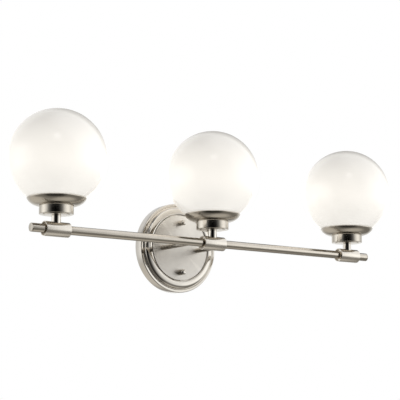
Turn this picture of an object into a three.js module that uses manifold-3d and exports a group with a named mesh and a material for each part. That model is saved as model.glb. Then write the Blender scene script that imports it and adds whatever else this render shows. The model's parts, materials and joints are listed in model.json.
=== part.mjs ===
// A wall-hung vanity light bar with three opal globes. Millimetres.
// X runs along the bar, +Y points into the wall, +Z is up; the wall is the plane y = 0.
// The origin is the centre of the canopy's back.
import * as THREE from "three";
import { mergeVertices } from "three/addons/utils/BufferGeometryUtils.js";
import Module from "manifold-3d";

const wasm = await Module();
wasm.setup();

// Driving dimensions
const LAMP_SPACING = 343;
const BAR_LENGTH = 788;
const BAR_R = 8;
const BAR_WALL = 1.2;
const BAR_STANDOFF = 136; // wall to bar axis
const BAR_DROP = 3; // bar axis below the canopy's centre
const GLOBE_R = 89.5;
const GLOBE_RISE = 129.5; // globe centre above the bar axis
const GLASS = 3;
const COLLAR_R = 13.4;
const COLLAR_LENGTH = 50;
const CUP_R = 31.2;
const CUP_TOP = 42;
const CUP_FLOOR = 25.6; // underside of the cup above the bar axis
const STEM_R = 8.9;
const NIPPLE_R = 4.75;
const CANOPY_R = 89.2;
const FLOOR_DEPTH = 20.8; // front of the canopy pan's floor, out from the wall
const DISC_R = 65.3;
const DISC_DEPTH = 26.3; // front of the canopy's face plate, out from the wall
const STUD_SPACING = 98.6;
const ARM_SPACING = 82.2;
const ARM_R = 4.75;
const ARM_TAIL = 12; // the arm's threaded tail, out from the wall
const SHEET = 1.2; // spun sheet metal
const GAP = 0.3; // between pieces that touch
const NECK_R = 29;
const NECK_END = 33; // lower end of the glass neck above the bar axis
const BULB_R = 23.8;
const BULB_TOP = 127.3;
const BULB_WALL = 1;
const LEAD_R = 1.5;

// How finely round things are divided
const WIDE = 24;
const MEDIUM = 16;
const SMALL = 10;

const LAMPS = { left: -LAMP_SPACING, middle: 0, right: LAMP_SPACING };

const metal = (color, roughness) =>
  new THREE.MeshStandardMaterial({ color, roughness, metalness: 1 });
const plain = (color, roughness) =>
  new THREE.MeshStandardMaterial({ color, roughness, metalness: 0 });

const materials = {
  satinNickel: metal(0xc9c1b4, 0.32),
  polishedNickel: metal(0xd8d2c6, 0.12),
  steel: metal(0xb4b6b8, 0.4),
  brass: metal(0xc8a252, 0.3),
  opalGlass: plain(0xf7f2e8, 0.12),
  bulbGlass: plain(0xfff4dc, 0.3),
  porcelain: plain(0xeeece6, 0.35),
  rubber: plain(0x8c8a84, 0.8),
  leadJacket: plain(0xdedbd2, 0.6),
  groundGreen: metal(0x3f8f4d, 0.4),
};

// A solid of revolution about Z from a closed outline of [radius, height] points.
function turned(outline, segments) {
  const points = outline.map(([r, z]) => new THREE.Vector2(r, z));
  if (THREE.ShapeUtils.isClockWise(points)) points.reverse();
  points.push(points[0].clone());
  return new THREE.LatheGeometry(points, segments).rotateX(Math.PI / 2);
}

// A tube or, with no bore, a rod, standing on z = from.
function rod(radius, from, to, segments, bore = 0) {
  return turned([[bore, from], [radius, from], [radius, to], [bore, to]], segments);
}

// The outline of a sheet: the outer points and, on their left, the same points one thickness away.
function sheetOutline(outer, thickness) {
  const inner = outer.map(([r, z], i) => {
    const [r0, z0] = outer[Math.max(i - 1, 0)];
    const [r1, z1] = outer[Math.min(i + 1, outer.length - 1)];
    const along = new THREE.Vector2(r1 - r0, z1 - z0).normalize();
    return [Math.max(r - along.y * thickness, 0), z + along.x * thickness];
  });
  return [...outer, ...inner.reverse()];
}

// Points of an arc in the [radius, height] plane; angles in degrees from the +radius direction.
function arc(centre, radius, fromDeg, toDeg, steps) {
  return Array.from({ length: steps + 1 }, (_, i) => {
    const angle = THREE.MathUtils.degToRad(fromDeg + ((toDeg - fromDeg) * i) / steps);
    const r = centre[0] + radius * Math.cos(angle);
    return [Math.abs(r) < 1e-6 ? 0 : r, centre[1] + radius * Math.sin(angle)];
  });
}

function toSolid(geometry) {
  const bare = geometry.clone();
  bare.deleteAttribute("normal");
  bare.deleteAttribute("uv");
  const merged = mergeVertices(bare, 1e-4);
  return new wasm.Manifold(
    new wasm.Mesh({
      numProp: 3,
      vertProperties: merged.attributes.position.array,
      triVerts: new Uint32Array(merged.index.array),
    }),
  );
}

// The geometry left when each cutter is taken away.
function cut(geometry, ...cutters) {
  const left = cutters.reduce((solid, cutter) => solid.subtract(toSolid(cutter)), toSolid(geometry));
  const mesh = left.getMesh();
  const result = new THREE.BufferGeometry();
  result.setAttribute("position", new THREE.BufferAttribute(mesh.vertProperties, 3));
  result.setIndex(new THREE.BufferAttribute(mesh.triVerts, 1));
  const faceted = result.toNonIndexed();
  faceted.computeVertexNormals();
  return faceted;
}

const alongX = (geometry) => geometry.rotateY(Math.PI / 2);

function add(group, name, geometry, material) {
  const mesh = new THREE.Mesh(geometry, material.clone());
  mesh.name = name;
  group.add(mesh);
  return mesh;
}

// Canopy: local Z points out of the wall, local Y is up.

const studPlaces = { top: STUD_SPACING / 2, bottom: -STUD_SPACING / 2 };
const armPlaces = { left: -ARM_SPACING / 2, right: ARM_SPACING / 2 };
const STUD_R = 2.1;
const FIT = 0.5; // clearance round studs and arms in the canopy
const HOLE_DEPTH = 40;

function canopyHoles() {
  const studs = Object.values(studPlaces).map((y) =>
    rod(STUD_R + FIT, 0, HOLE_DEPTH, SMALL).translate(0, y, 0),
  );
  const arms = Object.values(armPlaces).map((x) =>
    rod(ARM_R + FIT, 0, HOLE_DEPTH, MEDIUM).translate(x, -BAR_DROP, 0),
  );
  return [...studs, ...arms];
}

function canopyPan() {
  const front = [
    [0, FLOOR_DEPTH],
    [65.9, FLOOR_DEPTH],
    [66, 24.7],
    [66.7, 26],
    [68.4, 26.55],
    [70.5, 26.7],
    [73, 26.55],
    [75.4, 26.2],
    [77.4, 25.6],
    [79, 24.6],
    [80.1, 23.1],
    [80.8, 21.1],
    [81.1, 18.5],
    [82.4, 18.1],
    [84.4, 20],
    [87, 19.6],
    [CANOPY_R, 17.4],
    [CANOPY_R, 0],
  ];
  const back = [
    [CANOPY_R - SHEET, 0],
    [CANOPY_R - SHEET, 16.8],
    [86, 18.3],
    [83, 17],
    [80, 17.2],
    [79.6, 21.4],
    [78.2, 23.8],
    [75.2, 25.1],
    [70.5, 25.5],
    [67.4, 25],
    [67.1, FLOOR_DEPTH - SHEET],
    [0, FLOOR_DEPTH - SHEET],
  ];
  return cut(turned([...front, ...back], WIDE + SMALL), ...canopyHoles());
}

function canopyDisc() {
  const skirt = FLOOR_DEPTH + GAP;
  const outline = sheetOutline(
    [[DISC_R, skirt], [DISC_R, DISC_DEPTH - 1], [DISC_R - 1, DISC_DEPTH], [0, DISC_DEPTH]],
    SHEET,
  );
  return cut(turned(outline, WIDE + SMALL), ...canopyHoles());
}

// The strap's ends are round, and it has a tapped hole for each stud, a slot for each box screw,
// a middle hole and a small hole for the ground screw.
const STRAP = { width: 18, length: 116, thickness: 2 };
const GROUND_HEIGHT = 13;
const GROUND_SHANK_R = 1.7;

function slotHole(halfLength, radius) {
  const hole = new THREE.Path();
  hole.absarc(0, halfLength, radius, 0, Math.PI);
  hole.absarc(0, -halfLength, radius, Math.PI, 2 * Math.PI);
  return hole;
}

function movedHole(hole, y) {
  return new THREE.Path(hole.getPoints(4).map((p) => new THREE.Vector2(p.x, p.y + y)));
}

function mountingStrap() {
  const end = STRAP.length / 2 - STRAP.width / 2;
  const outline = new THREE.Shape(slotHole(end, STRAP.width / 2).getPoints(6));
  const boxSlots = [34, -34].map((y) => movedHole(slotHole(5, 2.6), y));
  const round = (radius, y) => movedHole(new THREE.Path().absarc(0, 0, radius, 0, 2 * Math.PI), y);
  const studHoles = Object.values(studPlaces).map((y) => round(STUD_R + GAP, y));
  outline.holes.push(...boxSlots, ...studHoles, round(5, 0), round(GROUND_SHANK_R + GAP, GROUND_HEIGHT));
  return new THREE.ExtrudeGeometry(outline, {
    depth: STRAP.thickness,
    bevelEnabled: false,
    curveSegments: 4,
  });
}

function capNut() {
  const radius = 5.8;
  const length = 14.8;
  const outline = [
    [STUD_R + 0.4, 0],
    [radius, 0],
    [radius, length - 2.6],
    [radius - 0.7, length - 1.2],
    [radius - 2.4, length - 0.3],
    [0, length],
    [0, length - 3],
    [STUD_R + 0.4, length - 4],
  ];
  return turned(outline, SMALL);
}

function groundScrew() {
  const headFoot = STRAP.thickness + GAP;
  const outline = [
    [0, GAP],
    [GROUND_SHANK_R, GAP],
    [GROUND_SHANK_R, headFoot],
    [4, headFoot],
    [4, headFoot + 1.2],
    [2.6, headFoot + 2.2],
    [0, headFoot + 2.2],
  ];
  return turned(outline, SMALL);
}

// A hollow arm whose front end is a saddle on the bar.
function supportArm() {
  const barCutter = alongX(rod(BAR_R + GAP, -20, 20, MEDIUM)).translate(0, 0, BAR_STANDOFF);
  return cut(rod(ARM_R, ARM_TAIL, BAR_STANDOFF, MEDIUM, ARM_R - 1.2), barCutter);
}

function hexNut(boreR, acrossFlats, height) {
  const cornerRatio = 1 / Math.cos(Math.PI / 6);
  return rod((acrossFlats / 2) * cornerRatio, 0, height, 6, boreR * cornerRatio);
}

function canopy() {
  const group = new THREE.Group();
  group.rotation.x = Math.PI / 2;
  add(group, "canopy_pan", canopyPan(), materials.polishedNickel);
  add(group, "canopy_disc", canopyDisc(), materials.satinNickel);
  add(group, "mounting_strap", mountingStrap(), materials.steel);
  add(group, "ground_screw", groundScrew(), materials.groundGreen).position.y = GROUND_HEIGHT;
  for (const [side, y] of Object.entries(studPlaces)) {
    const stud = rod(STUD_R, GAP, DISC_DEPTH + 9, SMALL);
    add(group, `mounting_stud_${side}`, stud, materials.steel).position.y = y;
    const nut = add(group, `cap_nut_${side}`, capNut(), materials.polishedNickel);
    nut.position.set(0, y, DISC_DEPTH + GAP);
  }
  const nutHeight = 4;
  for (const [side, x] of Object.entries(armPlaces)) {
    const arm = add(group, `support_arm_${side}`, supportArm(), materials.satinNickel);
    arm.position.set(x, -BAR_DROP, 0);
    const nut = add(group, `arm_nut_${side}`, hexNut(ARM_R + GAP, 15, nutHeight), materials.steel);
    nut.position.set(x, -BAR_DROP, FLOOR_DEPTH - SHEET - GAP - nutHeight);
  }
  return group;
}

// Bar: local X is along it, local Z is up, and the origin is its middle.

const END_CAP = { flange: 2, plug: 8 };
const NIPPLE_HOLE_R = NIPPLE_R + GAP + 0.05;

function barTube() {
  const half = BAR_LENGTH / 2 - END_CAP.flange - GAP;
  const tube = alongX(rod(BAR_R, -half, half, MEDIUM, BAR_R - BAR_WALL));
  const nippleHoles = Object.values(LAMPS).map((x) =>
    rod(NIPPLE_HOLE_R, 0, BAR_R + 2, SMALL).translate(x, 0, 0),
  );
  const armHoles = Object.values(armPlaces).map((x) =>
    rod(ARM_R - 1.2, 0, BAR_R + 2, SMALL).rotateX(-Math.PI / 2).translate(x, 0, 0),
  );
  return cut(tube, ...nippleHoles, ...armHoles);
}

function endCap() {
  const plugR = BAR_R - BAR_WALL - GAP;
  const outline = [
    [0, -END_CAP.plug],
    [plugR, -END_CAP.plug],
    [plugR, 0],
    [BAR_R, 0],
    [BAR_R, END_CAP.flange],
    [0, END_CAP.flange],
  ];
  return alongX(turned(outline, MEDIUM));
}

// A sleeve with a deep recess round the tube at each end.
function collar() {
  const half = COLLAR_LENGTH / 2;
  const chamfer = 0.7;
  const recess = { radius: COLLAR_R - 1.5, depth: 5 };
  const rightHalf = [
    [COLLAR_R, half - chamfer],
    [COLLAR_R - chamfer, half],
    [recess.radius, half],
    [recess.radius, half - recess.depth],
    [BAR_R + GAP, half - recess.depth],
  ];
  const leftHalf = rightHalf.map(([r, x]) => [r, -x]).reverse();
  const outline = [...rightHalf, ...leftHalf];
  return cut(alongX(turned(outline, MEDIUM)), rod(NIPPLE_HOLE_R, 0, COLLAR_R + 2, SMALL));
}

function bar() {
  const group = new THREE.Group();
  add(group, "bar_tube", barTube(), materials.satinNickel);
  for (const [side, sign] of Object.entries({ left: -1, right: 1 })) {
    const cap = add(group, `bar_end_cap_${side}`, endCap(), materials.satinNickel);
    cap.position.x = sign * (BAR_LENGTH / 2 - END_CAP.flange);
    cap.rotation.z = sign < 0 ? Math.PI : 0;
  }
  for (const [place, x] of Object.entries(LAMPS)) {
    add(group, `collar_${place}`, collar(), materials.satinNickel).position.x = x;
  }
  return group;
}

// One lamp: local Z is up from the bar's axis.

function stem() {
  const post = rod(STEM_R, 0, CUP_FLOOR - GAP, SMALL, NIPPLE_R + GAP + 0.05);
  return cut(post, alongX(rod(COLLAR_R + GAP, -15, 15, MEDIUM)));
}

const CUP_HOLE_R = NIPPLE_HOLE_R;

function socketCup() {
  const step = { radius: 24.4, height: 1.2 };
  const ring = CUP_FLOOR + step.height;
  const outline = [
    [CUP_HOLE_R, CUP_FLOOR],
    [step.radius - 0.6, CUP_FLOOR],
    [step.radius, CUP_FLOOR + 0.6],
    [step.radius, ring],
    [CUP_R - 1, ring],
    [CUP_R, ring + 1],
    [CUP_R, CUP_TOP],
    [CUP_R - SHEET, CUP_TOP],
    [CUP_R - SHEET, ring + SHEET],
    [step.radius - SHEET, ring + SHEET],
    [step.radius - 2 * SHEET, CUP_FLOOR + SHEET],
    [CUP_HOLE_R, CUP_FLOOR + SHEET],
  ];
  return turned(outline, WIDE);
}

// A saucer that hugs the underside of the glass; its foot rests on the cup's rim.
function fitterBowl() {
  const underside = [
    [NECK_R + 0.8, CUP_TOP + GAP],
    [CUP_R, CUP_TOP + GAP],
    [37, 43],
    [42.5, 44.9],
    [47.2, 47.7],
    [50.8, 51],
    [52.8, 54],
    [53.5, 56],
  ];
  return turned(sheetOutline(underside, 0.8), WIDE);
}

// A thin ring between the glass and the bowl.
function gasket() {
  const centre = [0, GLOBE_RISE];
  const thickness = 0.8;
  const inner = GLOBE_R + GAP;
  const ring = { from: -56.6, to: -55, inner, outer: inner + thickness };
  const outline = [
    ...arc(centre, ring.outer, ring.from, ring.to, 1),
    ...arc(centre, ring.inner, ring.to, ring.from, 1),
  ];
  return turned(outline, WIDE);
}

function globe() {
  const centre = [0, GLOBE_RISE];
  const innerR = NECK_R - 2.6;
  const outline = [
    ...arc(centre, GLOBE_R, 90, -68, 9),
    [29.7, 44.2],
    [NECK_R, 42.5],
    [NECK_R, NECK_END],
    [innerR, NECK_END],
    [innerR, 44.8],
    [29, 48.6],
    ...arc(centre, GLOBE_R - GLASS, -65, 90, 7),
  ];
  return turned(outline, WIDE);
}

function lockNut() {
  return hexNut(NIPPLE_R + GAP, 17, 2.8).translate(0, 0, CUP_FLOOR + SHEET + GAP);
}

const SOCKET = { foot: 31.4, floor: 36, top: 59.5, bodyR: 19.5, shellR: 13.9 };

function socketBody() {
  const outline = [
    [NIPPLE_HOLE_R, SOCKET.foot],
    [16.5, SOCKET.foot],
    [SOCKET.bodyR, 34.4],
    [SOCKET.bodyR, SOCKET.top - 1],
    [SOCKET.bodyR - 1, SOCKET.top],
    [SOCKET.shellR + GAP, SOCKET.top],
    [SOCKET.shellR + GAP, SOCKET.floor],
    [NIPPLE_HOLE_R, SOCKET.floor],
  ];
  return turned(outline, MEDIUM);
}

function socketShell() {
  const wall = 0.5;
  const foot = SOCKET.floor + GAP;
  const outline = [
    [8, foot],
    [SOCKET.shellR, foot],
    [SOCKET.shellR, SOCKET.top - 1],
    [SOCKET.shellR - wall, SOCKET.top - 1],
    [SOCKET.shellR - wall, foot + wall],
    [8, foot + wall],
  ];
  return turned(outline, MEDIUM);
}

function socketContact() {
  const foot = SOCKET.floor + GAP;
  const outline = [
    [0, foot],
    [6.6, foot],
    [6.6, foot + 0.5],
    [2.5, foot + 1.5],
    [0, foot + 1.5],
  ];
  return turned(outline, SMALL);
}

const BULB = { tip: 38.2, capFoot: 40.3, capR: 13, capTop: 64, neckR: 12 };

function bulbContact() {
  const outline = [
    [0, BULB.tip],
    [3.4, BULB.tip + 0.4],
    [4.8, BULB.capFoot - GAP],
    [0, BULB.capFoot - GAP],
  ];
  return turned(outline, SMALL);
}

function bulbCap() {
  const wall = 0.6;
  const outline = [
    [0, BULB.capFoot],
    [5.5, BULB.capFoot],
    [BULB.capR, 45],
    [BULB.capR, BULB.capTop],
    [BULB.capR - wall, BULB.capTop],
    [BULB.capR - wall, 45.4],
    [5.2, BULB.capFoot + wall],
    [0, BULB.capFoot + wall],
  ];
  return turned(outline, SMALL);
}

// A glass pear whose neck is open inside the cap.
function bulbEnvelope() {
  const centre = [0, BULB_TOP - BULB_R];
  const neckInner = BULB.neckR - BULB_WALL;
  const outline = [
    [BULB.neckR, 57],
    [BULB.neckR, 66],
    [18, 80],
    ...arc(centre, BULB_R, -22, 90, 5),
    ...arc(centre, BULB_R - BULB_WALL, 90, -22, 4),
    [17, 80.4],
    [neckInner, 66.4],
    [neckInner, 57],
  ];
  return turned(outline, SMALL);
}

function lamp(place) {
  const group = new THREE.Group();
  const nipple = rod(NIPPLE_R, 4.5, SOCKET.foot + 1.8, SMALL, NIPPLE_R - 1.4);
  add(group, `nipple_${place}`, nipple, materials.steel);
  add(group, `stem_${place}`, stem(), materials.polishedNickel);
  add(group, `socket_cup_${place}`, socketCup(), materials.satinNickel);
  add(group, `fitter_bowl_${place}`, fitterBowl(), materials.satinNickel);
  add(group, `lock_nut_${place}`, lockNut(), materials.brass);
  add(group, `socket_body_${place}`, socketBody(), materials.porcelain);
  add(group, `socket_shell_${place}`, socketShell(), materials.brass);
  add(group, `socket_contact_${place}`, socketContact(), materials.brass);
  add(group, `globe_gasket_${place}`, gasket(), materials.rubber);
  add(group, `globe_${place}`, globe(), materials.opalGlass);
  add(group, `bulb_contact_${place}`, bulbContact(), materials.brass);
  add(group, `bulb_cap_${place}`, bulbCap(), materials.brass);
  add(group, `bulb_envelope_${place}`, bulbEnvelope(), materials.bulbGlass);
  return group;
}

// Leads: each runs from its socket down the nipple, along the bar and back through an arm.

// A smooth curve sampled evenly between its points, so that bends get as many steps as straights.
class PointwiseCurve extends THREE.CatmullRomCurve3 {
  constructor(points) {
    super(points, false, "centripetal");
  }

  getUtoTmapping(u) {
    return u;
  }
}

// The two leads that share an arm lie one above the other: level is -1, 0 or 1.
function lampLead(lampX, armX, level) {
  const into = Math.sign(armX - lampX);
  const inward = -Math.sign(armX);
  const point = (x, y, z) => new THREE.Vector3(x, y, z);
  const z = level * (LEAD_R + GAP / 2);
  const bend = 4;
  const tail = BAR_STANDOFF - ARM_TAIL;
  const points = [
    point(lampX, 0, SOCKET.foot + 2.6),
    point(lampX, 0, 18),
    point(lampX, 0, 5),
    point(lampX + into * 1.2, 0, z / 2 + 1.6),
    point(lampX + into * bend, 0, z),
    point(lampX + into * 3 * bend, 0, z),
    point(armX - into * 3 * bend, 0, z),
    point(armX - into * bend, 0.4, z),
    point(armX - into * 0.8, 1.8, z),
    point(armX, bend + 1, z),
    point(armX, 3 * bend, z),
    point(armX, tail - 6, z),
    point(armX, tail + 1, z),
    point(armX + inward * 5, tail + 4.6, z),
    point(armX + inward * 15, tail + 5.4, 3 * z + 1),
    point(armX + inward * 24, tail + 5.4, 5 * z + 2),
  ];
  const section = new THREE.Shape().absarc(0, 0, LEAD_R, 0, 2 * Math.PI);
  return new THREE.ExtrudeGeometry(new THREE.Shape(section.getPoints(4).slice(0, -1)), {
    steps: points.length - 1,
    extrudePath: new PointwiseCurve(points),
    bevelEnabled: false,
  });
}

const root = new THREE.Group();
root.add(canopy());

const barFrame = new THREE.Group();
barFrame.position.set(0, -BAR_STANDOFF, -BAR_DROP);
root.add(barFrame);
barFrame.add(bar());
for (const [place, x] of Object.entries(LAMPS)) {
  const one = lamp(place);
  one.position.x = x;
  barFrame.add(one);
}
add(barFrame, "lamp_lead_left", lampLead(LAMPS.left, armPlaces.left, -1), materials.leadJacket);
add(barFrame, "lamp_lead_middle", lampLead(LAMPS.middle, armPlaces.left, 1), materials.leadJacket);
add(barFrame, "lamp_lead_right", lampLead(LAMPS.right, armPlaces.right, 0), materials.leadJacket);

export default root;
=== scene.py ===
"""A vanity light bar: three lit opal globes in saucer fitters on a nickel tube, on a round canopy."""
import json
import math

import bmesh
import bpy
from mathutils import Matrix, Vector


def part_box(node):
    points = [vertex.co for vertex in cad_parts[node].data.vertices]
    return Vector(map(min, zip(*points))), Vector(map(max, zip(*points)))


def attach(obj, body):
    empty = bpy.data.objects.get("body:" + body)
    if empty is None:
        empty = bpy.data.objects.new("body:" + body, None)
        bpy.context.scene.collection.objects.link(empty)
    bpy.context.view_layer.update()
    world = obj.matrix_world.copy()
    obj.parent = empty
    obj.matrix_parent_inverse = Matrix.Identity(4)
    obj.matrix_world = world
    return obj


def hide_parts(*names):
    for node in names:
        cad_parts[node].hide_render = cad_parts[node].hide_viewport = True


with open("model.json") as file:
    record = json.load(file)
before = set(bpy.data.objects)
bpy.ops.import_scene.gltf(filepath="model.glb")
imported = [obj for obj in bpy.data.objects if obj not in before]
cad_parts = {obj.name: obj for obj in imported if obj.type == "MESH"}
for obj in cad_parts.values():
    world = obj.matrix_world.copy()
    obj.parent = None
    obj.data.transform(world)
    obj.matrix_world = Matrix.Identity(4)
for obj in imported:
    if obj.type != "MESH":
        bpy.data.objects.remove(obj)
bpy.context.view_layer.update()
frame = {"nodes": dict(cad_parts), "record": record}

MM = 0.001
# Millimetres, as in every outline
SHEET = 1.2
TUBE_WALL = 1.2
THREAD_BORE = 5.1  # holes that a lamp pipe goes through
NUT_BORE = 5.05
SIDES = ("left", "right")
LEVELS = ("top", "bottom")
PLACES = ("left", "middle", "right")


def corners(node):
    low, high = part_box(node)
    return Vector(low), Vector(high)


def centre(node):
    low, high = corners(node)
    return (low + high) / 2


def size(node):
    """A node's width, depth and height in millimetres."""
    low, high = corners(node)
    return (high - low) / MM


def radius_of(node):
    return size(node).x / 2


# Lines that everything else is placed from
BAR = centre("bar_tube")
BAR_R = (corners("bar_tube")[1] - BAR).z
CANOPY_R = corners("canopy_pan")[1].x
LAMP_X = {place: centre(f"globe_{place}").x for place in PLACES}
ARM_X = {side: centre(f"support_arm_{side}").x for side in SIDES}

# Axes that a piece's own Z is turned to
UP = Matrix.Identity(4)
OUT_OF_WALL = Matrix.Rotation(math.radians(90), 4, "X")
ALONG_BAR = Matrix.Rotation(math.radians(90), 4, "Y")


# ---------------------------------------------------------------- camera, light and stage

VIEW_YAW = math.radians(35.28)
VIEW_PITCH = math.radians(9.156)
CAMERA_AT = Vector((-1.5150, -2.2357, -0.3355))
LENS_MM = 122.1


def add_camera():
    data = bpy.data.cameras.new("Camera")
    data.lens = LENS_MM
    data.sensor_width = 36
    data.clip_start = 0.05
    camera = bpy.data.objects.new("Camera", data)
    level = math.cos(VIEW_PITCH)
    aim = Vector((math.sin(VIEW_YAW) * level, math.cos(VIEW_YAW) * level, math.sin(VIEW_PITCH)))
    camera.matrix_world = Matrix.Translation(CAMERA_AT) @ aim.to_track_quat("-Z", "Y").to_matrix().to_4x4()
    bpy.context.collection.objects.link(camera)
    bpy.context.scene.camera = camera


class Nodes:
    """A node tree with short calls for adding and wiring nodes."""

    def __init__(self, tree):
        self.tree = tree
        tree.nodes.clear()

    def add(self, kind, inputs=None, **settings):
        node = self.tree.nodes.new("ShaderNode" + kind)
        for key, value in settings.items():
            setattr(node, key, value)
        for key, value in (inputs or {}).items():
            if isinstance(value, bpy.types.NodeSocket):
                self.tree.links.new(value, node.inputs[key])
            else:
                node.inputs[key].default_value = value
        return node

    def math(self, operation, *values):
        node = self.add("Math", dict(enumerate(values)), operation=operation)
        return node.outputs[0]

    def vector(self, operation, *values):
        node = self.add("VectorMath", dict(enumerate(values)), operation=operation)
        return node.outputs["Value" if operation in ("DOT_PRODUCT", "LENGTH") else "Vector"]

    def ramp(self, value, low, high, to_low=0.0, to_high=1.0, smooth=True):
        inputs = {"Value": value, "From Min": low, "From Max": high, "To Min": to_low, "To Max": to_high}
        kind = "SMOOTHSTEP" if smooth else "LINEAR"
        return self.add("MapRange", inputs, interpolation_type=kind).outputs["Result"]

    def mix(self, factor, a, b):
        node = self.add("Mix", data_type="RGBA")
        for socket, value in (("Factor", factor), ("A", a), ("B", b)):
            target = next(s for s in node.inputs
                          if s.name == socket and (socket == "Factor" or s.type == "RGBA"))
            if isinstance(value, bpy.types.NodeSocket):
                self.tree.links.new(value, target)
            else:
                target.default_value = value
        return next(s for s in node.outputs if s.type == "RGBA")

    def noise(self, vector, scale, detail=2.0, roughness=0.5):
        inputs = {"Vector": vector, "Scale": scale, "Detail": detail, "Roughness": roughness}
        return self.add("TexNoise", inputs).outputs["Fac"]

    def own_coordinates(self):
        return self.add("TexCoord").outputs["Object"]

    def relief(self, height, strength, distance):
        return self.add("Bump", {"Height": height, "Strength": strength, "Distance": distance}).outputs[0]

    def surface(self, inputs):
        """The material's shader, joined to its output."""
        shader = self.add("BsdfPrincipled", inputs)
        self.add("OutputMaterial", {"Surface": shader.outputs[0]})
        return shader


def new_material(name):
    material = bpy.data.materials.new(name)
    material.use_nodes = True
    return material, Nodes(material.node_tree)


def shade(colour, factor=1.0):
    """A colour made darker or brighter, with the alpha that Blender wants."""
    return (*(min(c * factor, 1) for c in colour), 1)


def studio_direction(azimuth, elevation):
    """A direction from the object: azimuth 0 is level towards the camera, 90 to the picture's right."""
    azimuth, elevation = math.radians(azimuth), math.radians(elevation)
    to_front = Vector((-math.sin(VIEW_YAW), -math.cos(VIEW_YAW), 0))
    to_right = Vector((math.cos(VIEW_YAW), -math.sin(VIEW_YAW), 0))
    flat = math.cos(azimuth) * to_front + math.sin(azimuth) * to_right
    return math.cos(elevation) * flat + Vector((0, 0, math.sin(elevation)))


# Brightness level with the object, from straight behind it (0) round to the camera (1)
SIDE_BOXES = (
    (0.0, 0.78), (0.075, 0.62), (0.18, 0.46), (0.28, 0.58), (0.37, 0.79), (0.45, 0.95), (0.5, 1.0),
    (0.55, 1.0), (0.6125, 0.945), (0.679, 0.77), (0.7425, 0.59), (0.794, 0.36), (0.84, 0.18),
    (0.883, 0.10), (0.95, 0.01), (1.0, 0.0),
)
SIDE_TINT = (1.27, 1.27, 1.25095)
FLOOR_TINT = (1, 0.955, 0.87)
# Patches of light and dark: azimuth, elevation, full out to, ends at, strength
FLOOR_LIGHTS = ((-132, -38, 12, 42, 0.40), (130, -70, 6, 30, 0.34))
CEILING_LIGHTS = ((100, 52, 28, 56, 0.72), (-150, 30, 14, 40, 0.50))
TOP_LIGHT = (5, 41.4, 3, 9, 2.0)
DARK_PATCHES = ((165, 32, 10, 27, 0.85), (0, -36, 28, 44, 0.80))
FLOOR_LEVEL = 0.21
CEILING_LEVEL = 0.22
BACKDROP = (1, 1, 1, 1)


def add_studio():
    """A photographer's studio as a sky: soft boxes at both sides, dark round the camera."""
    world = bpy.data.worlds.new("Studio")
    bpy.context.scene.world = world
    world.use_nodes = True
    n = Nodes(world.node_tree)
    direction = n.add("TexCoord").outputs["Generated"]

    def patch(azimuth, elevation, bright, ends, strength):
        near = n.vector("DOT_PRODUCT", direction, studio_direction(azimuth, elevation))
        return n.ramp(near, math.cos(math.radians(ends)), math.cos(math.radians(bright)), 0, strength)

    def grey(level):
        return n.add("CombineXYZ", {0: level, 1: level, 2: level}).outputs[0]

    def lit_patches(level, patches):
        for each in patches:
            level = n.math("ADD", level, patch(*each))
        return grey(level)

    height = n.add("SeparateXYZ", {"Vector": direction}).outputs["Z"]
    facing = n.vector("DOT_PRODUCT", direction, studio_direction(0, 0))
    round_about = n.add("ValToRGB", {"Fac": n.ramp(facing, -1, 1, smooth=False)})
    stops = round_about.color_ramp.elements
    for spot, _ in SIDE_BOXES[2:]:  # a new ramp has two stops
        stops.new(spot)
    for stop, (spot, level) in zip(stops, SIDE_BOXES):
        stop.position = spot
        stop.color = (level, level, level, 1)
    sides = n.vector("MULTIPLY", round_about.outputs["Color"], SIDE_TINT)
    floor = n.vector("MULTIPLY", lit_patches(FLOOR_LEVEL, FLOOR_LIGHTS), FLOOR_TINT)
    ceiling = lit_patches(CEILING_LEVEL, CEILING_LIGHTS)
    light = n.mix(n.ramp(height, -0.42, -0.10), floor, sides)
    light = n.mix(n.ramp(height, 0.22, 0.5), light, ceiling)
    for dark in DARK_PATCHES:
        light = n.vector("MULTIPLY", light, grey(n.math("SUBTRACT", 1.0, patch(*dark))))
    light = n.vector("ADD", light, grey(patch(*TOP_LIGHT)))
    lit = n.add("Background", {"Color": light, "Strength": 1.0}).outputs[0]
    seen = n.add("Background", {"Color": BACKDROP, "Strength": 1.0}).outputs[0]
    direct = n.add("LightPath").outputs["Is Camera Ray"]
    chosen = n.add("MixShader", {0: direct, 1: lit, 2: seen}).outputs[0]
    n.add("OutputWorld", {"Surface": chosen})


FLOOR_HEIGHT = -0.9
FLOOR_HALF = 6.0


def add_floor():
    mesh = bpy.data.meshes.new("Floor")
    ends = (-FLOOR_HALF, FLOOR_HALF)
    mesh.from_pydata([(x, y, FLOOR_HEIGHT) for y in ends for x in ends], [], [(0, 1, 3, 2)])
    floor = bpy.data.objects.new("Floor", mesh)
    bpy.context.collection.objects.link(floor)
    material, n = new_material("Pale_floor")
    grain = n.noise(n.own_coordinates(), 9.0, 3.0)
    colour = n.mix(grain, (0.80, 0.79, 0.77, 1), (0.86, 0.85, 0.83, 1))
    n.surface({
        "Base Color": colour, "Roughness": 0.9, "Emission Color": (1, 0.99, 0.97, 1), "Emission Strength": 0.35,
    })
    mesh.materials.append(material)
    floor.visible_glossy = False


# ---------------------------------------------------------------- materials

def round_own_axis(n, around):
    """Where a point is from its piece's own Z axis, which way round it is (scaled), and its height."""
    place = n.add("SeparateXYZ", {"Vector": n.own_coordinates()})
    flat = n.add("CombineXYZ", {0: place.outputs[0], 1: place.outputs[1]}).outputs[0]
    turn = n.vector("SCALE", n.vector("NORMALIZE", flat))
    turn.node.inputs["Scale"].default_value = around
    return flat, turn, place.outputs[2]


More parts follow.
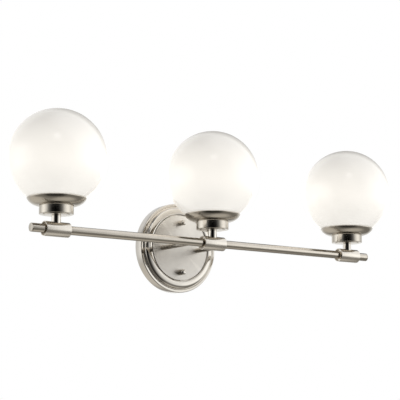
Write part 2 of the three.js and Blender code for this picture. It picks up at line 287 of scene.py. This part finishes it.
def lathe_grain(n, across, along):
    """Fine lines that run round a turned piece's own Z axis: they change across radius and height."""
    flat, turn, height = round_own_axis(n, along)
    radius = n.vector("LENGTH", flat)
    bands = n.add("CombineXYZ", {
        0: n.math("MULTIPLY", radius, across), 1: 0.0, 2: n.math("MULTIPLY", height, across),
    }).outputs[0]
    return n.vector("ADD", bands, turn)


def drawn_grain(n, around, along):
    """Fine lines that run along a drawn tube's own Z axis."""
    _, turn, height = round_own_axis(n, around)
    return n.vector("ADD", turn, n.add("CombineXYZ", {2: n.math("MULTIPLY", height, along)}).outputs[0])


def nickel(name, base, grain, roughness, spread=0.04, bump=0.12, streak=0.0):
    """Nickel plate: grain lines in roughness and relief, faint handling marks, brighter worn edges."""
    material, n = new_material(name)
    lines = n.noise(grain(n), 1.0, 2.0, 0.6)
    marks = n.noise(n.own_coordinates(), 38.0, 3.0, 0.55)
    toned = n.mix(n.ramp(marks, 0.35, 0.7), shade(base, 0.93), shade(base))
    wear = n.ramp(n.add("NewGeometry").outputs["Pointiness"], 0.52, 0.60)
    colour = n.mix(wear, toned, shade(base, 1.05))
    rough = n.math("ADD", n.ramp(lines, 0.3, 0.7, roughness - spread, roughness + spread),
                   n.ramp(marks, 0.4, 0.8, 0.0, spread * 0.8))
    surface = n.surface({
        "Base Color": colour, "Metallic": 1.0, "Roughness": rough, "Normal": n.relief(lines, bump, 0.0002),
        "Anisotropic": streak, "Anisotropic Rotation": 0.25,
    })
    if streak:
        round_axis = n.add("Tangent", direction_type="RADIAL", axis="Z").outputs[0]
        n.tree.links.new(round_axis, surface.inputs["Tangent"])
    return material


def plated_metal(name, base, roughness):
    """Plated or plain metal: mottled spangle in colour, roughness and relief."""
    material, n = new_material(name)
    spangle = n.noise(n.own_coordinates(), 260.0, 3.0, 0.6)
    n.surface({
        "Base Color": n.mix(spangle, shade(base, 0.82), shade(base)), "Metallic": 1.0,
        "Normal": n.relief(spangle, 0.12, 0.0001),
        "Roughness": n.ramp(spangle, 0.3, 0.7, roughness - 0.08, roughness + 0.1),
    })
    return material


GLOW = (1.0, 0.94, 0.85, 1)
GLOW_RANGE = (0.29, 0.55)  # at the ends of the globe and at the bulb


def opal_glass():
    """Glossy opal glass, a little cloudy, lit from inside: the glow is fullest at the bulb's height."""
    material, n = new_material("Opal_glass")
    where = n.own_coordinates()
    height = n.add("SeparateXYZ", {"Vector": where}).outputs["Z"]
    cloud = n.noise(where, 22.0, 2.0, 0.5)
    colour = n.mix(cloud, (0.80, 0.80, 0.785, 1), (0.84, 0.835, 0.82, 1))
    near_bulb = n.math("MULTIPLY", n.ramp(height, -0.085, -0.01), n.ramp(height, 0.100, -0.005))
    lit = n.ramp(near_bulb, 0, 1, *GLOW_RANGE, smooth=False)
    glow = n.math("MULTIPLY", lit, n.ramp(cloud, 0, 1, 0.97, 1.03))
    waves = n.noise(where, 9.0, 1.0)
    n.surface({
        "Base Color": colour, "Roughness": n.ramp(cloud, 0.3, 0.7, 0.09, 0.13), "IOR": 1.5,
        "Emission Color": GLOW, "Emission Strength": glow, "Normal": n.relief(waves, 0.05, 0.001),
        "Coat Weight": 0.35, "Coat Roughness": 0.08, "Coat IOR": 1.5,
    })
    return material


def plain_surface(name, base, roughness, scale, relief=0.1, **fixed):
    """A moulded or glazed surface with a fine mottle in colour, roughness and relief."""
    material, n = new_material(name)
    mottle = n.noise(n.own_coordinates(), scale, 3.0, 0.6)
    n.surface({
        "Base Color": n.mix(mottle, shade(base, 0.9), shade(base)), "Normal": n.relief(mottle, relief, 0.0002),
        "Roughness": n.ramp(mottle, 0.3, 0.7, roughness * 0.85, roughness * 1.15), **fixed,
    })
    return material


SATIN = (0.71, 0.66, 0.585)
# Painted light: the collars' satin nickel, painted far brighter than the bar's, a lit copy of the same metal
SLEEVE_PAINTED_BRIGHTER = (0.96, 0.91, 0.83)
# Painted light: the face plate's satin nickel, painted brighter than the bar's, a lit copy of the same metal
FACE_PAINTED_BRIGHTER = (0.94, 0.905, 0.85)
BRIGHT = (0.80, 0.76, 0.70)


def fine_lathe(n):
    return lathe_grain(n, 5200.0, 3.0)


def soft_lathe(n):
    return lathe_grain(n, 3600.0, 2.0)


def buffed(n):
    return lathe_grain(n, 3000.0, 2.0)


def drawn(n):
    return drawn_grain(n, 90.0, 14.0)


def make_materials():
    return {
        "satin_turned": nickel("Satin_nickel_turned", SATIN, fine_lathe, roughness=0.16),
        "satin_drawn": nickel("Satin_nickel_drawn", SATIN, drawn, roughness=0.18),
        "satin_bowl": nickel("Satin_nickel_bowl", SATIN, fine_lathe, roughness=0.22),
        # Painted light: a copy of the satin nickel painted brighter for the collars
        "satin_sleeve": nickel("Satin_nickel_sleeve_painted_brighter", SLEEVE_PAINTED_BRIGHTER, fine_lathe, roughness=0.26, streak=0.4),
        # Painted light: a copy of the satin nickel painted brighter for the canopy face plate
        "satin_face": nickel("Satin_nickel_face_painted_brighter", FACE_PAINTED_BRIGHTER, soft_lathe, roughness=0.44, spread=0.03, bump=0.006),
        "polished": nickel("Polished_nickel", BRIGHT, buffed, roughness=0.07, spread=0.025, bump=0.06),
        "zinc_steel": plated_metal("Zinc_plate", (0.66, 0.67, 0.68), roughness=0.38),
        "green_screw": plated_metal("Green_zinc", (0.10, 0.36, 0.15), roughness=0.36),
        "brass": plated_metal("Brass", (0.78, 0.60, 0.30), roughness=0.28),
        "opal_glass": opal_glass(),
        "bulb_glass": plain_surface("Frosted_bulb", (1.0, 0.95, 0.86), roughness=0.4, scale=120.0,
                                    **{"Emission Color": GLOW, "Emission Strength": 1.6}),
        "porcelain": plain_surface("Porcelain", (0.92, 0.91, 0.88), roughness=0.22, scale=70.0),
        "soft_seal": plain_surface("Seal_rubber", (0.52, 0.51, 0.49), roughness=0.75, scale=300.0, relief=0.3),
        "lead_jacket": plain_surface("Lead_jacket", (0.86, 0.84, 0.79), roughness=0.45, scale=180.0,
                                     relief=0.2),
    }


# ---------------------------------------------------------------- mesh work

def rounded(outline, steps=5):
    """The outline of (radius, height, fillet) corners in millimetres as points with round corners."""
    points = []
    count = len(outline)
    for i, corner in enumerate(outline):
        here = Vector(corner[:2])
        fillet = corner[2] if len(corner) > 2 else 0
        if not fillet:
            points.append(here)
            continue
        back = Vector(outline[i - 1][:2]) - here
        ahead = Vector(outline[(i + 1) % count][:2]) - here
        half = back.angle(ahead) / 2
        reach = min(fillet / math.tan(half), back.length * 0.49, ahead.length * 0.49)
        start, end = here + back.normalized() * reach, here + ahead.normalized() * reach
        for k in range(steps + 1):
            t = k / steps
            points.append((1 - t) ** 2 * start + 2 * t * (1 - t) * here + t ** 2 * end)
    return points


def arc_point(middle, radius, degrees):
    """A point at an angle over the level, round a centre on the axis at height middle."""
    angle = math.radians(degrees)
    return Vector((max(radius * math.cos(angle), 0.0), middle + radius * math.sin(angle)))


def arc(middle, radius, start, end, steps):
    return [arc_point(middle, radius, start + (end - start) * k / steps) for k in range(steps + 1)]


def smooth_through(points, steps=6):
    """A Catmull-Rom curve through points."""
    points = [Vector(p) for p in points]
    ends = [2 * points[0] - points[1], *points, 2 * points[-1] - points[-2]]
    curve = []
    for a, b, c, d in zip(ends, ends[1:], ends[2:], ends[3:]):
        for k in range(steps):
            t = k / steps
            curve.append(0.5 * (2 * b + (c - a) * t + (2 * a - 5 * b + 4 * c - d) * t * t
                                + (3 * b - a - 3 * c + d) * t ** 3))
    return [*curve, points[-1]]


def offset(points, distance):
    """The same curve moved to its left by distance."""
    moved = []
    for i, point in enumerate(points):
        along = (points[min(i + 1, len(points) - 1)] - points[max(i - 1, 0)]).normalized()
        moved.append(Vector((max(point.x - along.y * distance, 0.0), point.y + along.x * distance)))
    return moved


SHARP = math.radians(38)


def finish_mesh(name, bm):
    """An object with its close points joined, shaded smooth except at sharp edges."""
    bmesh.ops.remove_doubles(bm, verts=bm.verts, dist=1e-7)
    bmesh.ops.recalc_face_normals(bm, faces=bm.faces)
    mesh = bpy.data.meshes.new(name)
    bm.to_mesh(mesh)
    bm.free()
    for polygon in mesh.polygons:
        polygon.use_smooth = True
    mesh.set_sharp_from_angle(angle=SHARP)
    obj = bpy.data.objects.new(name, mesh)
    bpy.context.collection.objects.link(obj)
    return obj


def turned(name, outline, segments=96, shape=None):
    """A solid of revolution about Z from a closed outline in millimetres.

    shape, where given, moves each point: it takes (x, y, z, index in the outline) and returns (x, y, z)."""
    bm = bmesh.new()
    rings = []
    for index, (radius, height) in enumerate(outline):
        ring = []
        for k in range(segments):
            angle = 2 * math.pi * k / segments
            point = (radius * math.cos(angle), radius * math.sin(angle), height)
            if shape:
                point = shape(*point, index)
            ring.append(bm.verts.new(Vector(point) * MM))
        rings.append(ring)
    for ring, following in zip(rings, rings[1:] + rings[:1]):
        for k in range(segments):
            quad = (ring[k], ring[(k + 1) % segments], following[(k + 1) % segments], following[k])
            bm.faces.new(quad)
    bmesh.ops.remove_doubles(bm, verts=bm.verts, dist=1e-7)
    bmesh.ops.dissolve_degenerate(bm, dist=1e-7, edges=bm.edges)
    return finish_mesh(name, bm)


def dress(obj, body, nodes, material, place, turn=UP):
    """Puts a piece where it belongs, hangs it on its body and gives it its finish."""
    obj.matrix_world = Matrix.Translation(place) @ turn
    obj.data.materials.clear()
    obj.data.materials.append(material)
    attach(obj, body)
    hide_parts(*nodes)


def thread(pitch, depth, low, high, core):
    """Winds a screw thread into a turned piece where it is wider than core, between two heights."""
    def shape(x, y, z, _):
        radius = math.hypot(x, y)
        if radius < core or not low < z < high:
            return x, y, z
        phase = (z / pitch - math.atan2(y, x) / (2 * math.pi)) % 1
        scale = 1 - depth * (0.5 - 0.5 * math.cos(2 * math.pi * phase)) / radius
        return x * scale, y * scale, z
    return shape


def climb(radius, low, high, step):
    """Points straight up a wall, about one step apart."""
    count = max(round((high - low) / step), 1)
    return [Vector((radius, low + (high - low) * k / count)) for k in range(count + 1)]


def six_sided(flats):
    """Trims a turned piece to a hexagon, which leaves its chamfered corners."""
    def shape(x, y, z, _):
        turn = (math.atan2(y, x) % (math.pi / 3)) - math.pi / 6
        limit = flats / 2 / math.cos(turn)
        radius = math.hypot(x, y)
        scale = min(1, limit / radius) if radius else 1
        return x * scale, y * scale, z
    return shape


def hex_nut(name, flats, height):
    corner = flats / 2 / math.cos(math.pi / 6)
    outline = rounded([
        (NUT_BORE, 0.4), (NUT_BORE + 0.4, 0), (corner - 0.9, 0, 0.3), (corner, 0.5),
        (corner, height - 0.5), (corner - 0.9, height, 0.3), (NUT_BORE + 0.4, height), (NUT_BORE, height - 0.4),
    ], 3)
    return turned(name, outline, 72, six_sided(flats))


def threaded_rod(name, radius, low, high, pitch, depth, bore=0.0):
    """A rod or pipe with a thread and a chamfer (lead) at both ends."""
    lead = 0.5
    wall = climb(radius, low + lead, high - lead, pitch / 4)
    outline = [(bore, low), (radius - lead, low), *wall, (radius - lead, high), (bore, high)]
    return turned(name, outline, 24, thread(pitch, depth, low + 1, high - 1, radius - 0.1))


# ---------------------------------------------------------------- canopy

WALL_CENTRE = Vector((0, 0, 0))
CANOPY_SEGMENTS = 160
RIM_DEPTH = 20.0


def canopy_pan(m):
    """The spun pan: a flat floor behind the face plate, the bead, a groove and the outer wall."""
    depth = -corners("canopy_pan")[0].y / MM
    floor = -corners("canopy_disc")[0].y / MM - 5.5
    outer = CANOPY_R / MM
    bead = smooth_through([
        (65.9, floor + 0.2), (66.0, depth - 2.0), (66.7, depth - 0.7), (68.4, depth - 0.15), (70.5, depth),
        (73, depth - 0.15), (75.4, depth - 0.5), (77.4, depth - 1.1), (79, depth - 2.1), (80.1, depth - 3.6),
        (80.8, depth - 5.6), (81.1, depth - 8.2),
    ], 5)
    groove = smooth_through([(81.4, 18.3), (82.4, 18.1), (83.3, 18.6), (84, 19.6)], 4)
    rim = rounded([(84.6, RIM_DEPTH), (outer, RIM_DEPTH, 1.6), (outer, 10)])[1:-1]
    edge = [(outer, 0.9), (outer - 0.15, 0.25), (outer - 0.5, 0)]
    inside = [
        (outer - SHEET, 0), (outer - SHEET, 17.4), (86.0, 18.6), (83.2, 17), (80, 17.2), (79.6, 21.4),
        (78.2, 23.8), (75.2, 25.1), (70.5, depth - SHEET), (67.4, 25), (67.0, floor - SHEET),
        (0, floor - SHEET),
    ]
    pan = turned("Canopy_pan_spun", [(0, floor), *bead, *groove, *rim, *edge, *inside], CANOPY_SEGMENTS)
    dress(pan, "fixture", ["canopy_pan"], m["polished"], WALL_CENTRE, OUT_OF_WALL)


def canopy_disc(m):
    low, high = corners("canopy_disc")
    radius, face, skirt = high.x / MM, -low.y / MM, -high.y / MM
    outline = rounded([
        (0, face), (radius, face, 0.8), (radius, skirt), (radius - SHEET, skirt),
        (radius - SHEET, face - SHEET, 0.4), (0, face - SHEET),
    ])
    disc = turned("Canopy_face_plate", outline, CANOPY_SEGMENTS)
    dress(disc, "fixture", ["canopy_disc"], m["satin_face"], WALL_CENTRE, OUT_OF_WALL)


def wall_side(node):
    """The middle of a node's face towards the wall."""
    middle = centre(node)
    return Vector((middle.x, corners(node)[1].y, middle.z))


def cap_nut(level, m):
    """A round nut with a low dome and a blind bore."""
    node = f"cap_nut_{level}"
    radius, length = radius_of(node), size(node).y
    crown, bore = 2.8, 2.5
    dome = [(radius * math.cos(a) ** 0.8, length - crown + crown * math.sin(a))
            for a in (math.radians(90 * k / 10) for k in range(11))]
    outline = [(bore, 0), (radius - 0.5, 0), (radius, 0.5), *dome, (0, length - 5), (bore, length - 6)]
    nut = turned(f"Cap_nut_{level}_domed", outline, 64)
    dress(nut, "fixture", [node], m["polished"], wall_side(node), OUT_OF_WALL)


def flat_plate(name, outline, holes, thickness, bevel):
    """A plate with rolled edges: outline and holes are closed rings of points in millimetres."""
    curve = bpy.data.curves.new(name, "CURVE")
    curve.dimensions = "2D"
    curve.fill_mode = "BOTH"
    curve.bevel_depth = bevel * MM
    curve.bevel_resolution = 2
    curve.offset = -bevel * MM
    curve.extrude = (thickness / 2 - bevel) * MM
    for ring in (outline, *holes):
        spline = curve.splines.new("POLY")
        spline.points.add(len(ring) - 1)
        for point, (x, y) in zip(spline.points, ring):
            point.co = (x * MM, y * MM, 0, 1)
        spline.use_cyclic_u = True
    holder = bpy.data.objects.new(name, curve)
    mesh = bpy.data.meshes.new_from_object(holder)
    bpy.data.objects.remove(holder)
    bm = bmesh.new()
    bm.from_mesh(mesh)
    bpy.data.meshes.remove(mesh)
    return finish_mesh(name, bm)


def slot_ring(half, radius, middle, steps=16):
    """A slot or, with no length, a round hole, as points round its edge."""
    ring = []
    for k in range(2 * steps):
        angle = math.pi * (k + 0.5) / steps
        end = half if math.sin(angle) > 0 else -half
        ring.append((radius * math.cos(angle), middle + end + radius * math.sin(angle)))
    return ring


# Holes in the strap, in millimetres
BOX_SLOT_HEIGHTS = (34, -34)
BOX_SLOT_HALF, BOX_SLOT_RADIUS = 5, 2.6
MIDDLE_HOLE, GROUND_HOLE, STUD_HOLE = 5, 2.0, 2.4


def mounting_strap(m):
    width, thickness, length = size("mounting_strap")
    outline = slot_ring(length / 2 - width / 2, width / 2, 0, 24)
    holes = [slot_ring(BOX_SLOT_HALF, BOX_SLOT_RADIUS, height) for height in BOX_SLOT_HEIGHTS]
    holes += [slot_ring(0, MIDDLE_HOLE, 0), slot_ring(0, GROUND_HOLE, centre("ground_screw").z / MM)]
    holes += [slot_ring(0, STUD_HOLE, centre(f"mounting_stud_{level}").z / MM) for level in LEVELS]
    strap = flat_plate("Mounting_strap_plate", outline, holes, thickness, 0.25)
    at = centre("mounting_strap")
    dress(strap, "fixture", ["mounting_strap"], m["zinc_steel"], at, OUT_OF_WALL)


def mounting_stud(level, m):
    node = f"mounting_stud_{level}"
    pitch, depth = 0.8, 0.35
    stud = threaded_rod(f"Mounting_stud_{level}_screw", radius_of(node), 0, size(node).y, pitch, depth)
    dress(stud, "fixture", [node], m["zinc_steel"], wall_side(node), OUT_OF_WALL)


def arm_nut(side, m):
    node = f"arm_nut_{side}"
    nut = hex_nut(f"Arm_nut_{side}_hex", 15, size(node).y)
    dress(nut, "fixture", [node], m["zinc_steel"], wall_side(node), OUT_OF_WALL)


def ground_screw(m):
    top = size("ground_screw").y
    shank, head, head_height = 1.7, 4, 2.2
    slot_width, slot_reach, slot_depth = 0.9, 3, 0.9
    outline = rounded([
        (0, 0), (shank, 0), (shank, top - head_height), (head, top - head_height, 0.3), (head, top - 1.0, 0.5),
        (2.4, top, 0.8), (0, top),
    ], 4)

    def shape(x, y, z, _):
        in_slot = abs(x) < slot_width / 2 and abs(y) < slot_reach
        return x, y, min(z, top - slot_depth) if in_slot else z

    screw = turned("Ground_screw_green", outline, 60, shape)
    at = wall_side("ground_screw")
    dress(screw, "fixture", ["ground_screw"], m["green_screw"], at, OUT_OF_WALL)


def arm(side, m):
    """A tube from inside the canopy to the bar, its end cut to sit on the bar."""
    node = f"support_arm_{side}"
    radius = radius_of(node)
    bore = radius - TUBE_WALL
    tail, standoff = -corners(node)[1].y / MM, -BAR.y / MM
    seat = BAR_R / MM + 0.3
    outline = [(bore, tail), (radius - 0.4, tail), (radius, tail + 0.4), (radius, tail + 20)]
    outline += [(radius, standoff), (bore, standoff)]
    saddle = (4, 5)  # the outline's last two points

    def shape(x, y, z, index):
        if index in saddle:
            z = standoff - math.sqrt(seat ** 2 - y ** 2)
        return x, y, z

    piece = turned(f"Arm_{side}_tube", outline, 48, shape)
    at = Vector((ARM_X[side], 0, BAR.z))
    dress(piece, "fixture", [node], m["satin_drawn"], at, OUT_OF_WALL)


# ---------------------------------------------------------------- bar

def bar_pieces(m):
    half = size("bar_tube").x / 2
    radius = BAR_R / MM
    bore = radius - TUBE_WALL
    outline = rounded([(bore, -half), (radius, -half, 0.3), (radius, half, 0.3), (bore, half)], 3)
    tube = turned("Bar_tube_drawn", outline, 96)
    dress(tube, "fixture", ["bar_tube"], m["satin_drawn"], BAR, ALONG_BAR)
    for side, sign in (("left", -1), ("right", 1)):
        node = f"bar_end_cap_{side}"
        low, high = corners(node)
        length = size(node).x
        flange = 2.0
        plug = bore - 0.3
        outline = rounded([(0, flange - length), (plug, flange - length, 0.5), (plug, 0), (radius, 0, 0.3),
                           (radius, flange, 0.6), (0, flange)], 4)
        cap = turned(f"End_cap_{side}_turned", outline, 96)
        outer_end = high.x if sign > 0 else low.x
        at = Vector((outer_end - sign * flange * MM, BAR.y, BAR.z))
        turn = ALONG_BAR if sign > 0 else Matrix.Rotation(math.radians(-90), 4, "Y")
        dress(cap, "fixture", [node], m["satin_turned"], at, turn)


def collar(place, m):
    """A sleeve round the bar with a deep recess at each end."""
    node = f"collar_{place}"
    half, radius = size(node).x / 2, size(node).z / 2
    bore = BAR_R / MM + 0.25
    inner, floor = radius - 1.5, half - 5
    outline = rounded([
        (bore, -floor), (inner, -floor, 0.4), (inner, -half, 0.3), (radius, -half, 0.8),
        (radius, half, 0.8), (inner, half, 0.3), (inner, floor, 0.4), (bore, floor),
    ], 4)
    piece = turned(f"Collar_{place}_sleeve", outline, 96)
    dress(piece, "fixture", [node], m["satin_sleeve"], centre(node), ALONG_BAR)


# ---------------------------------------------------------------- lamp

def lamp_base(place):
    return Vector((LAMP_X[place], BAR.y, BAR.z))


def heights(node):
    """A node's lowest and highest point over the bar's axis, in millimetres."""
    low, high = corners(node)
    return (low.z - BAR.z) / MM, (high.z - BAR.z) / MM


def stem(place, m):
    node = f"stem_{place}"
    top = heights(node)[1]
    radius = radius_of(node)
    seat = (corners(f"collar_{place}")[1].z - BAR.z) / MM + 0.1
    outline = [(THREAD_BORE, 0), (radius, 0), (radius, 20), (radius, top), (THREAD_BORE, top)]

    def shape(x, y, z, index):
        if index < 2:
            z = math.sqrt(seat ** 2 - y ** 2)
        return x, y, z

    piece = turned(f"Stem_{place}_post", outline, 96, shape)
    dress(piece, "fixture", [node], m["polished"], lamp_base(place))


def socket_cup(place, m):
    node = f"socket_cup_{place}"
    floor, top = heights(node)
    radius = radius_of(node)
    step, ring = 24.4, floor + 1.2
    outline = rounded([
        (THREAD_BORE, floor), (step, floor, 0.5), (step, ring, 0.2), (radius, ring, 0.9), (radius, top, 0.3),
        (radius - SHEET, top), (radius - SHEET, ring + SHEET, 0.6), (step - SHEET, ring + SHEET),
        (step - SHEET - 1, floor + SHEET, 0.5), (THREAD_BORE, floor + SHEET),
    ], 5)
    piece = turned(f"Cup_{place}_spun", outline, 128)
    dress(piece, "fixture", [node], m["satin_turned"], lamp_base(place))


def fitter_bowl(place, m):
    """A spun saucer with a short upright lip."""
    node = f"fitter_bowl_{place}"
    foot, top = heights(node)
    foot_r, rim_r = 29.8, radius_of(node)
    sheet, roll = 0.8, 0.45
    lip = Vector((rim_r - roll, top - roll))
    under = smooth_through([
        (foot_r, foot), (31.2, foot), (33.6, foot + 0.1), (37, foot + 0.7), (42.5, foot + 2.6),
        (47.2, foot + 5.4), (50.8, foot + 8.7), (52.8, foot + 11.7), (53.35, foot + 12.8), (rim_r, lip.y),
    ], 6)
    bead = [lip + roll * Vector((math.cos(a), math.sin(a)))
            for a in (math.radians(180 * k / 12) for k in range(13))]
    inside = offset(under, sheet)[:-1]
    piece = turned(f"Bowl_{place}_spun", [*under, *bead, *reversed(inside)], 128)
    dress(piece, "fixture", [node], m["satin_bowl"], lamp_base(place))


def globe(place, m):
    """A blown sphere with a straight neck, open below."""
    node = f"globe_{place}"
    low, top = heights(node)
    radius = radius_of(node)
    middle = top - radius
    glass, neck, bore = 3.0, 29.0, 26.4
    end = low - middle
    shoulder = smooth_through([(31.2, -84.2), (29.6, -85.6), (neck, -87.6)], 4)
    lip = rounded([(neck, -88), (neck, end, 1.0), (bore, end, 1.0), (bore, -85)], 4)[1:-1]
    outline = [*arc(0, radius, 90, -67, 56), *shoulder, *lip, (bore, -84.8), (neck, -81.2),
               *arc(0, radius - glass, -66, 90, 40)]
    piece = turned(f"Globe_{place}_glass", outline, 144)
    at = lamp_base(place) + Vector((0, 0, middle * MM))
    dress(piece, f"globe_{place}", [node], m["opal_glass"], at)


BULB_PITCH = 25.4 / 7  # a medium base has seven threads to the inch
THREAD_STEP = BULB_PITCH / 12


def nipple(place, m):
    """The threaded pipe that clamps bar, collar, stem and cup, with its lock nut."""
    radius, bore, pitch, depth = 4.75, 3.35, 0.94, 0.4
    low, high = heights(f"nipple_{place}")
    pipe = threaded_rod(f"Nipple_{place}_pipe", radius, low, high, pitch, depth, bore)
    dress(pipe, "fixture", [f"nipple_{place}"], m["zinc_steel"], lamp_base(place))
    low, high = heights(f"lock_nut_{place}")
    nut = hex_nut(f"Lock_nut_{place}_hex", 17, high - low)
    at = lamp_base(place) + Vector((0, 0, low * MM))
    dress(nut, "fixture", [f"lock_nut_{place}"], m["brass"], at)


def socket(place, m):
    """A porcelain body with a threaded shell and a contact tongue."""
    foot, top = heights(f"socket_body_{place}")
    outline = rounded([
        (THREAD_BORE, foot, 0.3), (16.5, foot, 0.8), (19.5, foot + 3, 0.8), (19.5, top, 1.2), (14.2, top, 0.3),
        (14.2, foot + 4.6), (THREAD_BORE, foot + 4.6),
    ], 4)
    body = turned(f"Socket_{place}_porcelain", outline, 96)
    foot, top = heights(f"socket_shell_{place}")
    outline = [(8, foot), *climb(13.9, foot, top, THREAD_STEP),
               *reversed(climb(13.4, foot + 0.5, top, THREAD_STEP)), (8, foot + 0.5)]
    screw = thread(BULB_PITCH, 0.35, foot + 2, top - 1, 12)
    shell = turned(f"Socket_{place}_shell", outline, 60, screw)
    foot, top = heights(f"socket_contact_{place}")
    outline = rounded([(0, foot), (6.6, foot, 0.15), (6.6, foot + 0.5, 0.15), (2.5, top, 0.6), (0, top)], 4)
    tongue = turned(f"Socket_{place}_tongue", outline, 48)
    base = lamp_base(place)
    dress(body, "fixture", [f"socket_body_{place}"], m["porcelain"], base)
    dress(shell, "fixture", [f"socket_shell_{place}"], m["brass"], base)
    dress(tongue, "fixture", [f"socket_contact_{place}"], m["brass"], base)


def seal(place, m):
    """A soft ring between the globe and the bowl's lip."""
    radius = radius_of(f"globe_{place}")
    middle = heights(f"globe_{place}")[1] - radius
    inner, outer = radius + 0.3, radius + 1.1
    outline = [*arc(middle, outer, -56.6, -55, 3), *arc(middle, inner, -55, -56.6, 3)]
    ring = turned(f"Seal_{place}_ring", outline, 96)
    node = f"globe_gasket_{place}"
    dress(ring, f"globe_seal_{place}", [node], m["soft_seal"], lamp_base(place))


def bulb(place, m):
    """A screw-base bulb: end contact, threaded cap and frosted pear."""
    foot, top = heights(f"bulb_contact_{place}")
    outline = rounded([(0, foot), (3.4, foot + 0.4, 0.6), (4.8, top, 0.2), (0, top)], 4)
    tip = turned(f"Bulb_{place}_tip", outline, 48)
    foot, top = heights(f"bulb_cap_{place}")
    outline = [(0, foot), (5.5, foot), (12.4, foot + 4.2), *climb(13, foot + 4.7, top, THREAD_STEP),
               *reversed(climb(12.4, foot + 5.1, top, THREAD_STEP)), (5.2, foot + 0.6), (0, foot + 0.6)]
    cap = turned(f"Bulb_{place}_cap", outline, 60, thread(BULB_PITCH, 0.6, foot + 6, top - 2, 12))
    foot, top = heights(f"bulb_envelope_{place}")
    radius = radius_of(f"bulb_envelope_{place}")
    shoulder = arc_point(top - radius, radius, -22)
    glass = smooth_through([(11.4, foot), (11.4, foot + 9), (13.6, foot + 16), (17.6, foot + 23), shoulder], 6)
    glass += arc(top - radius, radius, -18, 90, 28)
    pear = turned(f"Bulb_{place}_glass", [*glass, *reversed(offset(glass, 1.0))], 72)
    base = lamp_base(place)
    dress(tip, f"bulb_tip_{place}", [f"bulb_contact_{place}"], m["brass"], base)
    dress(cap, f"bulb_{place}", [f"bulb_cap_{place}"], m["brass"], base)
    dress(pear, f"bulb_{place}", [f"bulb_envelope_{place}"], m["bulb_glass"], base)


# ---------------------------------------------------------------- everything

def carry_over_materials(m):
    """The CAD nodes that stay get the finish of their record slot."""
    by_slot = {"satin_nickel": "satin_turned", "polished_nickel": "polished"}
    for part in frame["record"]["subparts"]:
        obj = frame["nodes"][part["node"]]
        slot = part["material_slot"]
        obj.data.materials.clear()
        obj.data.materials.append(m[by_slot.get(slot, slot)])


def build():
    add_camera()
    add_studio()
    add_floor()
    bpy.context.scene.view_settings.view_transform = "Standard"
    m = make_materials()
    carry_over_materials(m)
    canopy_pan(m)
    canopy_disc(m)
    mounting_strap(m)
    for level in LEVELS:
        mounting_stud(level, m)
    for side in SIDES:
        arm_nut(side, m)
    ground_screw(m)
    for level in LEVELS:
        cap_nut(level, m)
    for side in SIDES:
        arm(side, m)
    bar_pieces(m)
    for place in PLACES:
        collar(place, m)
        stem(place, m)
        socket_cup(place, m)
        fitter_bowl(place, m)
        globe(place, m)
        nipple(place, m)
        socket(place, m)
        seal(place, m)
        bulb(place, m)


build()
